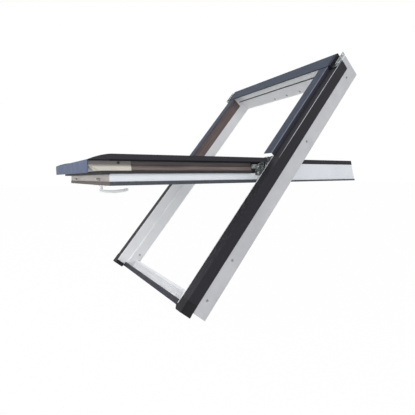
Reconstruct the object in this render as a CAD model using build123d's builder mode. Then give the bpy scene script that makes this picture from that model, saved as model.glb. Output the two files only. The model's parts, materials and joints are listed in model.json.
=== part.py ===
"""Centre-pivot PVC roof window in its frame, sash swung half open.

Millimetres, +Z up, +X to the right seen from outside, +Y into the room. The origin is the middle of
the pivot axis. Every profile is drawn either across the window, as (along, out), or along it, as
(x, out): "along" runs up the slope from the pivot and "out" away from the room.
"""
import os
from math import cos, radians, sin

from build123d import *

os.makedirs("parts", exist_ok=True)

# Angles in degrees
ROOF_PITCH = 50.0
OPENING_ANGLE = 50.0

# The whole frame
FRAME_WIDTH = 780.0
FRAME_LENGTH = 1180.0
FRAME_DEPTH = 104.0
PIVOT_ABOVE_MIDDLE = 22.0
CLADDING_BELOW_PIVOT = 13.0
SHEET = 1.5
OVERRUN = 1.0

# Frame profiles
JAMB_WIDTH = 51.5
RECESS_DEPTH = 8.0
RECESS_HEIGHT = 48.5
PROFILE_ROUND = 2.0
SILL_UPSTAND = 12.0
SILL_DROP = 42.0
SILL_LEDGE_WIDTH = 40.0
SILL_SLOPE_WIDTH = 12.0
SILL_SLOPE_DROP = 7.0
HEAD_WIDTH = 22.0
HEAD_ABOVE_PIVOT = 5.0
HEAD_EAR_HEIGHT = 5.0
FIXING_RADIUS = 2.5
FIXING_DEPTH = 30.0
FIXING_ABOVE_ROOM = 38.0
FIXING_SHARES = (0.9, 0.3, -0.63, -0.9)

# Hood and claddings of the frame
HOOD_OVERHANG = 18.0
HOOD_DROP = 30.0
HOOD_PAST_RECESS = 5.0
HOOD_CAP_WIDTH = 14.0
HOOD_ROUND = 1.2
BRACKET_GAP = 1.0
BRACKET_LEG = 14.5
BRACKET_HOLE_RADIUS = 3.5
BRACKET_HOLES = 5
CLADDING_PAST_RECESS = 4.0
CLADDING_SKIRT = 43.5
CLADDING_RIDGE_FROM_SIDE = 0.5
CLADDING_RIDGE_WIDTH = 2.0
CLADDING_RIDGE_HEIGHT = 1.5
CLADDING_SHORT_OF_TOP = 30.0
CLADDING_PAST_BOTTOM = 8.0
CLADDING_ROUND = 1.2
END_CAP_THICKNESS = 11.0
END_CAP_MARGIN = 1.0
END_CAP_SLEEVE = 34.0
END_CAP_PAST_RECESS = 3.0
END_CAP_CHAMFER = 14.0
UPPER_COVER_OVERHANG = 30.0
UPPER_COVER_PAST_RECESS = 6.5
COVER_ABOVE_PIVOT = 4.0
UPPER_COVER_HEM = 1.0
COVER_END_CLEARANCE = 6.0
UPPER_COVER_SHORT = 12.0
SILL_COVER_OVERHANG = 8.5
SILL_COVER_LIP = 18.0

# Sash profiles
SASH_SIDE_GAP = 4.5
SASH_BOTTOM_GAP = 12.0
SASH_TOP_GAP = 6.0
SASH_DEPTH = 89.0
SASH_ABOVE_PIVOT = 1.5
TOP_SLANT = 30.0
STILE_WIDTH = 47.5
TOP_RAIL_WIDTH = 50.0
BOTTOM_RAIL_WIDTH = 83.0
REBATE_WALL = 15.5
BEAD_HEIGHT = 17.5
BEAD_LIP = 21.0
BEAD_LIP_THICKNESS = 2.0

# Glazing
PANE = 4.0
PANE_GAP = 16.0
PANE_CLEARANCE = 5.0
GASKET = 2.0
INNER_GASKET = 3.0
GASKET_WIDTH = 8.0
SPACER_WIDTH = 7.0
SPACER_INSET = 8.0

# Covers and trims of the sash
LOWER_COVER_PAST_RECESS = 17.0
LOWER_COVER_FLANGE = 15.5
LOWER_COVER_LEG = 8.5
NOSE_PAST_SASH = 60.0
NOSE_DROP = 15.5
NOSE_BULGE_SHARE = 0.3
RAIL_FRONT_CHAMFER = 16.0
RAIL_COVER_PAST_NOSE = 2.0
RAIL_COVER_FRONT_DROP = 38.0
RAIL_COVER_SIDE_GAP = 0.5
TRIM_BELOW_COVER = 17.5
TRIM_HEIGHT = 28.5
TRIM_THICKNESS = 7.5
TRIM_NECK = 2.5
TRIM_STEP_SHARE = 0.44
TRIM_SLANT_SHARE = 0.18
TRIM_ROUND = 2.0
TRIM_FROM_PIVOT = 72.0
END_PLATE_ABOVE_SASH_END = 64.0
END_PLATE_CUT_LENGTH = 30.0
END_PLATE_CUT_HEIGHT = 18.5
END_PLATE_SCREW_RADIUS = 2.0
END_PLATE_SCREW_HEAD = 4.0
END_PLATE_SCREW_HEIGHT = 1.5
END_PLATE_SCREW_SHARES = (0.3, 0.19)
JOINT_GAP = 0.5

# Seals
SEAL_THICKNESS = 2.5
SEAL_BOTTOM_THICKNESS = 2.0
SEAL_HEIGHT_LOWER = 12.0
SEAL_HEIGHT_UPPER = 6.5
SEAL_FROM_PIVOT = 30.0
HEAD_GASKET_WIDTH = 6.0
HEAD_GASKET_HEIGHT = 3.0
HEAD_GASKET_SHARE = 0.54
SILL_GASKET_WIDTH = 8.0
SILL_GASKET_HEIGHT = 4.0
SILL_GASKET_ROUND = 2.0
SILL_GASKET_CLEARANCE = 1.0
STEP_GASKET_WIDTH = 14.0
STEP_GASKET_SIDE = 9.0
STEP_GASKET_SIDE_HEIGHT = 9.0
STEP_GASKET_CLEARANCE = 0.6

# Pivot hinges
PIN_RADIUS = 5.0
PIN_CLEARANCE = 0.05
KNUCKLE_RADIUS = 9.0
KNUCKLE_PAST_RECESS = 7.0
HINGE_PLATE = 4.0
HINGE_BOSS_GAP = 0.5
HINGE_SASH_PLATE = 3.0
HINGE_FRAME_HALF_LENGTH = 45.0
HINGE_FRAME_BOTTOM = 58.0
HINGE_FRAME_TOP = 24.0
HINGE_PACKER = 1.2
HINGE_PACKER_PAST_PIVOT = 12.0
HINGE_SASH_LENGTH = 68.0
HINGE_SASH_TOP = 20.0
HINGE_ARM_HEIGHT = 16.0
HINGE_SASH_BOTTOM = 60.0
HINGE_SASH_NEAR = 18.0
HINGE_FOOT_WIDTH = 30.0
HINGE_NECK_WIDTH = 22.0
HINGE_CORNER = 5.0
HINGE_STUD_RADIUS = 5.0
HINGE_STUD_HEIGHT = 2.5
HINGE_STUD_SHARES = ((0.84, 0.2), (0.28, 0.22), (0.3, 0.78))
LINER_GAP = 2.0

# Lock in the bottom rail
LOCK_SKIN = 3.0
LOCK_TRAVEL = 16.0
LOCK_GROOVE = 12.0
LOCK_GROOVE_DEPTH = 8.0
LOCK_GROOVE_SHORT_OF_SIDE = 32.5
LOCK_BELOW_STEP = 25.5
LOCK_ROD_THICKNESS = 3.5
LOCK_ROD_SHORT_OF_GROOVE = 20.0
LOCK_CLEARANCE = 0.3
LOCK_CAM_RADIUS = 4.0
LOCK_CAM_REACH = 9.0
LOCK_CAM_SPACING = 400.0
KEEPER_LENGTH = 30.0
KEEPER_GAP = 2.0
KEEPER_PLATE = 1.5
KEEPER_REACH = 5.0
KEEPER_LIP = 3.0
KEEPER_ABOVE_CAM = 4.0
KEEPER_BELOW_CAM = 10.0
LOCK_CASE_HALF_WIDTH = 24.0
LOCK_CASE_LENGTH = 32.0
LOCK_CASE_DEPTH = 18.0

# Handle on the bottom rail
HANDLE_ABOVE_SILL_EDGE = 23.0
ROSETTE_HALF_WIDTH = 33.0
ROSETTE_LENGTH = 38.0
ROSETTE_HEIGHT = 8.0
ROSETTE_CHAMFER = 3.0
ROSETTE_CORNER = 10.0
SPINDLE_RADIUS = 4.0
NECK_RADIUS = 10.0
NECK_HEIGHT = 10.0
GRIP_LENGTH = 118.0
GRIP_WIDTH = 20.0
GRIP_THICKNESS = 11.0
GRIP_BOW = 7.0
GRIP_CHAMFER = 3.0
RUNNING_GAP = 0.4

# Small caps on the frame
CAP_RADIUS = 5.5
CAP_HEIGHT = 0.8
HEAD_CAP_SPACING = 90.0
HEAD_CAP_COUNT = 3
HEAD_CAP_ABOVE_ROOM = 14.0
PLUG_ABOVE_ROOM = 24.0
PLUG_ABOVE_SILL = 28.0

# Places worked out from the sizes above
FRAME_TILT = ROOF_PITCH
SASH_TILT = ROOF_PITCH - OPENING_ANGLE
FRAME_TOP = FRAME_LENGTH / 2 - PIVOT_ABOVE_MIDDLE
FRAME_BOTTOM = -FRAME_LENGTH / 2 - PIVOT_ABOVE_MIDDLE
CLAD_FACE = -CLADDING_BELOW_PIVOT
PVC_FACE = CLAD_FACE - SHEET
ROOM_FACE = CLAD_FACE - FRAME_DEPTH
CLAD_SIDE = FRAME_WIDTH / 2
PVC_SIDE = CLAD_SIDE - SHEET
REVEAL = PVC_SIDE - JAMB_WIDTH
RECESS = REVEAL + RECESS_DEPTH
RECESS_FLOOR = PVC_FACE - RECESS_HEIGHT
HOOD_HALF_WIDTH = RECESS + HOOD_PAST_RECESS
UPPER_COVER_INNER = REVEAL - UPPER_COVER_OVERHANG
UPPER_COVER_OUTER = RECESS + UPPER_COVER_PAST_RECESS
LOWER_COVER_HALF_WIDTH = RECESS + LOWER_COVER_PAST_RECESS
SILL_INNER = FRAME_BOTTOM + SILL_UPSTAND
SILL_TOP = CLAD_FACE - SILL_DROP - SHEET
SILL_EDGE = SILL_INNER + SILL_LEDGE_WIDTH
HEAD_EDGE = FRAME_TOP - HEAD_WIDTH
HEAD_TOP = HEAD_ABOVE_PIVOT
EAR_TOP = PVC_FACE + HEAD_EAR_HEIGHT
CLADDING_TOP = FRAME_TOP - CLADDING_SHORT_OF_TOP
CLADDING_BOTTOM = FRAME_BOTTOM - CLADDING_PAST_BOTTOM
CLADDING_INNER = RECESS + CLADDING_PAST_RECESS

SASH_SIDE = REVEAL - SASH_SIDE_GAP
SASH_BOTTOM = SILL_INNER + SASH_BOTTOM_GAP
SASH_TOP = HEAD_EDGE - SASH_TOP_GAP
SASH_FACE = SASH_ABOVE_PIVOT
SASH_ROOM = SASH_FACE - SASH_DEPTH
WALL_TOP = SASH_FACE - BEAD_HEIGHT
PANE_TOP = SASH_FACE - BEAD_LIP_THICKNESS - GASKET
INNER_PANE_TOP = PANE_TOP - PANE - PANE_GAP
REBATE = INNER_PANE_TOP - PANE - INNER_GASKET
STILE_INNER = SASH_SIDE - STILE_WIDTH
WALL_INNER = SASH_SIDE - REBATE_WALL
BEAD_INNER = WALL_INNER - BEAD_LIP
TOP_RAIL_INNER = SASH_TOP - TOP_RAIL_WIDTH
BOTTOM_RAIL_INNER = SASH_BOTTOM + BOTTOM_RAIL_WIDTH
BOTTOM_WALL_INNER = SASH_BOTTOM + REBATE_WALL
COVER_FACE = COVER_ABOVE_PIVOT
COVER_UNDER = COVER_FACE - SHEET
COVER_END_GAP = KNUCKLE_RADIUS + COVER_END_CLEARANCE
LEDGE = SASH_ROOM - SILL_GASKET_HEIGHT - SILL_GASKET_CLEARANCE


def top_end(out):
    """Where the slanting upper end of the sash lies at a height."""
    return SASH_TOP - TOP_SLANT * (out - SASH_ROOM) / SASH_DEPTH


def head_face(out):
    """Where the slanting inner face of the head lies at a height."""
    return min(top_end(out) + SASH_TOP_GAP, HEAD_EDGE)


TOP_WALL_INNER = top_end(WALL_TOP) - REBATE_WALL
HEAD_FRONT = head_face(HEAD_TOP)
HOOD_FRONT = HEAD_FRONT - HOOD_OVERHANG
HOOD_BACK = FRAME_TOP + SHEET
HOOD_TOP = HEAD_TOP + SHEET
TOP_BEAD_LIP = TOP_WALL_INNER - BEAD_LIP
GLASS_HALF_WIDTH = WALL_INNER - PANE_CLEARANCE
GLASS_BOTTOM = BOTTOM_WALL_INNER + PANE_CLEARANCE
GLASS_TOP = TOP_WALL_INNER - PANE_CLEARANCE
COVER_BOTTOM = SASH_BOTTOM - NOSE_PAST_SASH
NOSE_UNDER = COVER_FACE - NOSE_DROP
TRIM_TOP = COVER_UNDER - TRIM_BELOW_COVER
TRIM_BOTTOM = TRIM_TOP - TRIM_HEIGHT
TRIM_OUTER = SASH_SIDE + TRIM_THICKNESS
END_PLATE_TOP = SASH_BOTTOM + END_PLATE_ABOVE_SASH_END
RAIL_COVER_FRONT = COVER_BOTTOM - RAIL_COVER_PAST_NOSE
RAIL_FRONT = RAIL_COVER_FRONT + SHEET + JOINT_GAP
LOCK_OUT = TRIM_BOTTOM - LOCK_BELOW_STEP
LOCK_START = SASH_BOTTOM + LOCK_SKIN
LOCK_GROOVE_HALF_LENGTH = SASH_SIDE - LOCK_GROOVE_SHORT_OF_SIDE
LOCK_ROD_HALF_LENGTH = LOCK_GROOVE_HALF_LENGTH - LOCK_ROD_SHORT_OF_GROOVE
HANDLE_ALONG = SILL_EDGE + HANDLE_ABOVE_SILL_EDGE
HINGE_FACE = RECESS - HINGE_PLATE
KNUCKLE_INNER = HINGE_FACE - RUNNING_GAP
KNUCKLE_OUTER = RECESS + KNUCKLE_PAST_RECESS
HINGE_SASH_BACK = SASH_SIDE + HINGE_PACKER
HINGE_SASH_FACE = HINGE_SASH_BACK + HINGE_SASH_PLATE


def up_slope(tilt):
    return Vector(0, cos(radians(tilt)), sin(radians(tilt)))


def outward(tilt):
    return Vector(0, -sin(radians(tilt)), cos(radians(tilt)))


def across(tilt, x):
    """Plane of an outline drawn as (along, out), which is extruded towards +X."""
    return Plane(origin=(x, 0, 0), x_dir=up_slope(tilt), z_dir=(1, 0, 0))


def along(tilt, start):
    """Plane of an outline drawn as (x, out), which is extruded down the slope."""
    return Plane(origin=up_slope(tilt) * start, x_dir=(1, 0, 0), z_dir=-up_slope(tilt))


def facing(tilt, out):
    """Plane of an outline drawn as (x, along), which is extruded outwards."""
    return Plane(origin=outward(tilt) * out, x_dir=(1, 0, 0), z_dir=outward(tilt))


def polygon(plane, points):
    with BuildSketch(plane) as profile:
        with BuildLine():
            Polyline(*points, close=True)
        make_face()
    return profile.sketch


def bar_across(tilt, points, left, right, mode=Mode.ADD):
    """A profile drawn as (along, out) and run from left to right."""
    extrude(polygon(across(tilt, left), points), amount=right - left, mode=mode)


def bar_along(tilt, points, top, bottom, mode=Mode.ADD):
    """A profile drawn as (x, out) and run from its upper end to its lower end."""
    extrude(polygon(along(tilt, top), points), amount=top - bottom, mode=mode)


def rectangle(low, high):
    """Corners of an upright rectangle."""
    return [low, (high[0], low[1]), high, (low[0], high[1])]


def block(tilt, low, high, mode=Mode.ADD):
    """A block between two corners given as (x, along, out)."""
    bar_across(tilt, rectangle(low[1:], high[1:]), low[0], high[0], mode)


def disc_at(tilt, x, place, radius, length, mode=Mode.ADD):
    """A round bar along X, from x, centred at a place given as (along, out)."""
    with BuildSketch(across(tilt, x)) as profile:
        with Locations(place):
            Circle(radius)
    extrude(profile.sketch, amount=length, mode=mode)


def ring(half_width, bottom, top, width, out, height):
    """A rectangular ring that lies on the sash, drawn by its outer edge."""
    with BuildSketch(facing(SASH_TILT, out)) as profile:
        with Locations((0, (top + bottom) / 2)):
            Rectangle(2 * half_width, top - bottom)
            Rectangle(2 * (half_width - width), top - bottom - 2 * width, mode=Mode.SUBTRACT)
    extrude(profile.sketch, amount=height)


def slope_axis(tilt):
    return Axis((0, 0, 0), up_slope(tilt))


def out_axis(tilt):
    return Axis((0, 0, 0), outward(tilt))


def keep(piece, node):
    piece.part.label = node
    export_step(piece.part, f"parts/{node}.step")


def keep_pair(piece, node):
    """Keeps a right-hand piece and its mirror image."""
    keep(piece, f"{node}_right")
    with BuildPart() as other_side:
        mirror(piece.part, about=Plane.YZ)
    keep(other_side, f"{node}_left")


# Jambs: PVC profiles with a lip beside the cladding and a recess for the liner and the sash trim
with BuildPart() as jamb:
    bar_along(
        FRAME_TILT,
        [
            (REVEAL, ROOM_FACE),
            (PVC_SIDE, ROOM_FACE),
            (PVC_SIDE, PVC_FACE),
            (RECESS, PVC_FACE),
            (RECESS, RECESS_FLOOR),
            (REVEAL, RECESS_FLOOR),
        ],
        FRAME_TOP,
        FRAME_BOTTOM,
    )
    lengthwise = jamb.edges().filter_by(slope_axis(FRAME_TILT))
    fillet(lengthwise.group_by(out_axis(FRAME_TILT))[0], radius=PROFILE_ROUND)
    block(
        FRAME_TILT,
        (RECESS, FRAME_BOTTOM, PVC_FACE),
        (CLADDING_INNER - JOINT_GAP, CLADDING_TOP, CLAD_FACE),
    )
    for share in FIXING_SHARES:
        place = share * FRAME_LENGTH / 2 - PIVOT_ABOVE_MIDDLE
        disc_at(
            FRAME_TILT,
            PVC_SIDE - FIXING_DEPTH,
            (place, ROOM_FACE + FIXING_ABOVE_ROOM),
            FIXING_RADIUS,
            FIXING_DEPTH,
            Mode.SUBTRACT,
        )
keep_pair(jamb, "frame_jamb")

# Sill: an upstand under the overhang of the sash and a ledge behind its lower edge
with BuildPart() as sill:
    bar_across(
        FRAME_TILT,
        [
            (FRAME_BOTTOM, ROOM_FACE),
            (SILL_EDGE, ROOM_FACE),
            (SILL_EDGE, LEDGE - SILL_SLOPE_DROP),
            (SILL_EDGE - SILL_SLOPE_WIDTH, LEDGE),
            (SILL_INNER, LEDGE),
            (SILL_INNER, SILL_TOP),
            (FRAME_BOTTOM, SILL_TOP),
        ],
        -REVEAL,
        REVEAL,
    )
    block(FRAME_TILT, (-RECESS, FRAME_BOTTOM, RECESS_FLOOR), (RECESS, SILL_INNER, SILL_TOP))
keep(sill, "frame_sill")

# Head: slanted inner face that follows the end of the sash, with ears that carry the hood
with BuildPart() as head:
    bar_across(
        FRAME_TILT,
        [
            (HEAD_EDGE, ROOM_FACE),
            (FRAME_TOP, ROOM_FACE),
            (FRAME_TOP, HEAD_TOP),
            (HEAD_FRONT, HEAD_TOP),
            (HEAD_EDGE, SASH_ROOM),
        ],
        -REVEAL,
        REVEAL,
    )
    for left, right in ((REVEAL, RECESS), (-RECESS, -REVEAL)):
        block(FRAME_TILT, (left, HEAD_FRONT, RECESS_FLOOR), (right, FRAME_TOP, HEAD_TOP))
    for left, right in ((RECESS, PVC_SIDE), (-PVC_SIDE, -RECESS)):
        block(FRAME_TILT, (left, CLADDING_TOP, PVC_FACE), (right, FRAME_TOP, EAR_TOP))
keep(head, "frame_head")

# Hood: folded sheet over the head
with BuildPart() as hood:
    bar_across(
        FRAME_TILT,
        [
            (HOOD_FRONT, COVER_UNDER),
            (HOOD_FRONT, HOOD_TOP),
            (HOOD_BACK, HOOD_TOP),
            (HOOD_BACK, -HOOD_DROP),
            (FRAME_TOP, -HOOD_DROP),
            (FRAME_TOP, HEAD_TOP),
            (HOOD_FRONT + SHEET, HEAD_TOP),
            (HOOD_FRONT + SHEET, COVER_UNDER),
        ],
        -HOOD_HALF_WIDTH,
        HOOD_HALF_WIDTH,
    )
    folds = hood.edges().filter_by(Axis.X).group_by(out_axis(FRAME_TILT))[-1]
    fillet(folds, radius=HOOD_ROUND)
keep(hood, "hood_cover")

# Moulded ends of the hood, which stand on the cladding in front of the head
with BuildPart() as hood_cap:
    bar_across(
        FRAME_TILT,
        [
            (HOOD_FRONT, CLAD_FACE),
            (HOOD_FRONT, HOOD_TOP),
            (HOOD_BACK, HOOD_TOP),
            (HOOD_BACK, EAR_TOP),
            (CLADDING_TOP, EAR_TOP),
            (CLADDING_TOP, CLAD_FACE),
        ],
        HOOD_HALF_WIDTH,
        HOOD_HALF_WIDTH + HOOD_CAP_WIDTH,
    )
keep_pair(hood_cap, "hood_end_cap")

# Zinc angles on the ears, beside the hood, each with a punched leg
with BuildPart() as bracket:
    bracket_left = HOOD_HALF_WIDTH + HOOD_CAP_WIDTH + BRACKET_GAP
    bracket_top = EAR_TOP + BRACKET_LEG
    bracket_length = FRAME_TOP - HOOD_FRONT
    block(FRAME_TILT, (bracket_left, HOOD_FRONT, EAR_TOP), (PVC_SIDE, FRAME_TOP, EAR_TOP + SHEET))
    block(FRAME_TILT, (PVC_SIDE - SHEET, HOOD_FRONT, EAR_TOP), (PVC_SIDE, FRAME_TOP, bracket_top))
    with BuildSketch(across(FRAME_TILT, PVC_SIDE - SHEET)) as punched:
        with Locations(((HOOD_FRONT + FRAME_TOP) / 2, (EAR_TOP + SHEET + bracket_top) / 2)):
            with GridLocations(bracket_length / BRACKET_HOLES, 0, BRACKET_HOLES, 1):
                Circle(BRACKET_HOLE_RADIUS)
    extrude(punched.sketch, amount=SHEET, mode=Mode.SUBTRACT)
keep_pair(bracket, "hood_bracket")

# Claddings: L-shaped sheet over the outer edge of each jamb, with a ridge along its fold above the pivot
with BuildPart() as cladding:
    bar_along(
        FRAME_TILT,
        [
            (CLADDING_INNER, PVC_FACE),
            (CLADDING_INNER, CLAD_FACE),
            (CLAD_SIDE, CLAD_FACE),
            (CLAD_SIDE, CLAD_FACE - CLADDING_SKIRT),
            (PVC_SIDE, CLAD_FACE - CLADDING_SKIRT),
            (PVC_SIDE, PVC_FACE),
        ],
        CLADDING_TOP,
        CLADDING_BOTTOM,
    )
    folded = cladding.edges().filter_by(slope_axis(FRAME_TILT)).group_by(Axis.X)[-1]
    outer_fold = folded.sort_by(out_axis(FRAME_TILT))[-1]
    fillet(outer_fold, radius=CLADDING_ROUND)
    ridge_right = CLAD_SIDE - CLADDING_RIDGE_FROM_SIDE
    block(
        FRAME_TILT,
        (ridge_right - CLADDING_RIDGE_WIDTH, COVER_END_GAP, CLAD_FACE),
        (ridge_right, CLADDING_TOP, CLAD_FACE + CLADDING_RIDGE_HEIGHT),
    )
keep_pair(cladding, "side_cladding")

# Caps that close the lower ends of the claddings: a plug, a sleeve outside and a shoulder beside the sill
with BuildPart() as end_cap:
    cap_left = RECESS - END_CAP_PAST_RECESS
    cap_right = CLAD_SIDE + END_CAP_MARGIN
    cap_end = CLADDING_BOTTOM - END_CAP_THICKNESS
    cap_top = CLAD_FACE + END_CAP_MARGIN
    skirt_bottom = CLAD_FACE - CLADDING_SKIRT
    block(
        FRAME_TILT,
        (CLADDING_INNER + SHEET, CLADDING_BOTTOM, skirt_bottom),
        (PVC_SIDE, FRAME_BOTTOM, PVC_FACE),
    )
    block(
        FRAME_TILT,
        (CLADDING_INNER, cap_end, skirt_bottom - END_CAP_MARGIN),
        (cap_right, CLADDING_BOTTOM, cap_top),
    )
    block(
        FRAME_TILT,
        (cap_left, cap_end, SILL_TOP + SHEET + JOINT_GAP),
        (CLADDING_INNER, FRAME_BOTTOM, cap_top),
    )
    bar_along(
        FRAME_TILT,
        [
            (CLADDING_INNER, CLAD_FACE),
            (CLADDING_INNER, cap_top),
            (cap_right, cap_top),
            (cap_right, skirt_bottom),
            (CLAD_SIDE, skirt_bottom),
            (CLAD_SIDE, CLAD_FACE),
        ],
        CLADDING_BOTTOM + END_CAP_SLEEVE,
        CLADDING_BOTTOM,
    )
    inner_corner = polygon(
        facing(FRAME_TILT, skirt_bottom - END_CAP_MARGIN),
        [
            (cap_left, cap_end),
            (cap_left + END_CAP_CHAMFER, cap_end),
            (cap_left, cap_end + END_CAP_CHAMFER),
        ],
    )
    extrude(inner_corner, amount=cap_top - skirt_bottom + END_CAP_MARGIN, mode=Mode.SUBTRACT)
keep_pair(end_cap, "cladding_end_cap")

# Raised covers of the upper half, carried by the liners and the claddings, each with a hem
with BuildPart() as upper_cover:
    bar_along(
        FRAME_TILT,
        [
            (UPPER_COVER_INNER, COVER_UNDER),
            (UPPER_COVER_INNER, COVER_FACE),
            (UPPER_COVER_OUTER - SHEET, COVER_FACE),
            (UPPER_COVER_OUTER - SHEET, COVER_FACE + UPPER_COVER_HEM),
            (UPPER_COVER_OUTER, COVER_FACE + UPPER_COVER_HEM),
            (UPPER_COVER_OUTER, CLAD_FACE),
            (UPPER_COVER_OUTER - SHEET, CLAD_FACE),
            (UPPER_COVER_OUTER - SHEET, COVER_UNDER),
        ],
        HOOD_FRONT - JOINT_GAP,
        COVER_END_GAP + UPPER_COVER_SHORT,
    )
keep_pair(upper_cover, "upper_side_cover")

# Brown liners in the recess of the upper half
with BuildPart() as liner:
    bar_along(
        FRAME_TILT,
        rectangle((REVEAL, RECESS_FLOOR), (RECESS, COVER_UNDER)),
        HEAD_FRONT,
        HINGE_FRAME_HALF_LENGTH + LINER_GAP,
    )
keep_pair(liner, "upper_liner")

# Dark sheet on the upstand of the sill, which stands forward and folds down
with BuildPart() as sill_cover:
    sill_lip = FRAME_BOTTOM - SILL_COVER_OVERHANG
    bar_across(
        FRAME_TILT,
        [
            (sill_lip, SILL_TOP - SILL_COVER_LIP),
            (sill_lip, SILL_TOP + SHEET),
            (SILL_INNER, SILL_TOP + SHEET),
            (SILL_INNER, SILL_TOP),
            (sill_lip + SHEET, SILL_TOP),
            (sill_lip + SHEET, SILL_TOP - SILL_COVER_LIP),
        ],
        -RECESS,
        RECESS,
    )
keep(sill_cover, "sill_cover")

# Seals of the frame: one on the slanted face of the head, one on the ledge of the sill
with BuildPart() as head_gasket:
    gasket_out = HEAD_TOP + (SASH_ROOM - HEAD_TOP) * HEAD_GASKET_SHARE
    face_run = Vector(HEAD_EDGE - HEAD_FRONT, SASH_ROOM - HEAD_TOP).normalized()
    face_normal = Vector(face_run.Y, -face_run.X)
    seat = Vector(HEAD_FRONT + (HEAD_EDGE - HEAD_FRONT) * HEAD_GASKET_SHARE, gasket_out)
    half = face_run * (HEAD_GASKET_WIDTH / 2)
    crown = seat + face_normal * HEAD_GASKET_HEIGHT
    with BuildSketch(across(FRAME_TILT, -REVEAL)) as bulb:
        with BuildLine():
            Line(seat - half, seat + half)
            ThreePointArc(seat + half, crown, seat - half)
        make_face()
    extrude(bulb.sketch, amount=2 * REVEAL)
keep(head_gasket, "head_gasket")

with BuildPart() as sill_gasket:
    sill_gasket_end = SILL_EDGE - SILL_SLOPE_WIDTH
    block(
        FRAME_TILT,
        (-REVEAL, sill_gasket_end - SILL_GASKET_WIDTH, LEDGE),
        (REVEAL, sill_gasket_end, LEDGE + SILL_GASKET_HEIGHT),
    )
    crest = sill_gasket.faces().sort_by(out_axis(FRAME_TILT))[-1]
    fillet(crest.edges().filter_by(Axis.X), radius=SILL_GASKET_ROUND)
keep(sill_gasket, "sill_gasket")

# Frame half of the pivot hinge: a plate in the recess that rises to the knuckle
with BuildPart() as frame_hinge:
    with BuildSketch(across(FRAME_TILT, HINGE_FACE)) as plate:
        with BuildLine():
            Polyline(
                (-HINGE_FRAME_HALF_LENGTH, -HINGE_FRAME_BOTTOM),
                (HINGE_FRAME_HALF_LENGTH, -HINGE_FRAME_BOTTOM),
                (HINGE_FRAME_HALF_LENGTH, -HINGE_FRAME_TOP),
                (KNUCKLE_RADIUS, 0),
                (-KNUCKLE_RADIUS, 0),
                (-HINGE_FRAME_HALF_LENGTH, -HINGE_FRAME_TOP),
                close=True,
            )
        make_face()
        fillet(plate.vertices().group_by(Axis.Y)[0], radius=HINGE_CORNER)
        Circle(KNUCKLE_RADIUS)
    extrude(plate.sketch, amount=HINGE_PLATE)
    disc_at(FRAME_TILT, KNUCKLE_INNER, (0, 0), KNUCKLE_RADIUS, KNUCKLE_OUTER - KNUCKLE_INNER)
    bore = PIN_RADIUS + PIN_CLEARANCE
    bore_length = KNUCKLE_OUTER - KNUCKLE_INNER + 2 * OVERRUN
    disc_at(FRAME_TILT, KNUCKLE_INNER - OVERRUN, (0, 0), bore, bore_length, Mode.SUBTRACT)
keep_pair(frame_hinge, "hinge_frame_plate")

# Hooks on the sill behind which the cams of the lock slide
with BuildPart() as keepers:
    for middle in (-LOCK_CAM_SPACING / 2, LOCK_CAM_SPACING / 2):
        keeper_left = middle + LOCK_CAM_RADIUS + KEEPER_GAP
        lip_bottom = LOCK_OUT + KEEPER_ABOVE_CAM + LOCK_CAM_RADIUS
        bar_across(
            FRAME_TILT,
            [
                (SILL_INNER, LOCK_OUT - KEEPER_BELOW_CAM),
                (SILL_INNER + KEEPER_PLATE, LOCK_OUT - KEEPER_BELOW_CAM),
                (SILL_INNER + KEEPER_PLATE, lip_bottom),
                (SILL_INNER + KEEPER_REACH, lip_bottom),
                (SILL_INNER + KEEPER_REACH, lip_bottom + KEEPER_LIP),
                (SILL_INNER, lip_bottom + KEEPER_LIP),
            ],
            keeper_left,
            keeper_left + KEEPER_LENGTH,
        )
keep(keepers, "lock_keepers")

# Round caps over the screws of the head and the drain holes of the jambs
with BuildPart() as head_caps:
    with BuildSketch(along(FRAME_TILT, HEAD_EDGE)) as cap_places:
        with Locations((0, ROOM_FACE + HEAD_CAP_ABOVE_ROOM)):
            with GridLocations(HEAD_CAP_SPACING, 0, HEAD_CAP_COUNT, 1):
                Circle(CAP_RADIUS)
    extrude(cap_places.sketch, amount=CAP_HEIGHT)
keep(head_caps, "head_screw_caps")

with BuildPart() as plugs:
    plug_place = (SILL_EDGE + PLUG_ABOVE_SILL, ROOM_FACE + PLUG_ABOVE_ROOM)
    for plug_left in (-REVEAL, REVEAL - CAP_HEIGHT):
        disc_at(FRAME_TILT, plug_left, plug_place, CAP_RADIUS, CAP_HEIGHT)
keep(plugs, "reveal_plugs")

# Sash stiles with the glazing rebate, whose outer wall runs on beside the rebates of the rails
with BuildPart() as stile:
    bar_along(
        SASH_TILT,
        [
            (STILE_INNER, SASH_ROOM),
            (SASH_SIDE, SASH_ROOM),
            (SASH_SIDE, WALL_TOP),
            (WALL_INNER, WALL_TOP),
            (WALL_INNER, REBATE),
            (STILE_INNER, REBATE),
        ],
        TOP_RAIL_INNER,
        BOTTOM_RAIL_INNER,
    )
    room_edges = stile.edges().filter_by(slope_axis(SASH_TILT)).group_by(Axis.Z)[0]
    fillet(room_edges.sort_by(Axis.X)[0], radius=PROFILE_ROUND)
    block(
        SASH_TILT,
        (WALL_INNER, BOTTOM_WALL_INNER, REBATE),
        (SASH_SIDE, TOP_WALL_INNER, WALL_TOP),
    )
keep_pair(stile, "sash_stile")

# Top rail with its slanted end
with BuildPart() as top_rail:
    bar_across(
        SASH_TILT,
        [
            (TOP_RAIL_INNER, SASH_ROOM),
            (SASH_TOP, SASH_ROOM),
            (top_end(WALL_TOP), WALL_TOP),
            (TOP_WALL_INNER, WALL_TOP),
            (TOP_WALL_INNER, REBATE),
            (TOP_RAIL_INNER, REBATE),
        ],
        -SASH_SIDE,
        SASH_SIDE,
    )
keep(top_rail, "sash_top_rail")

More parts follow.
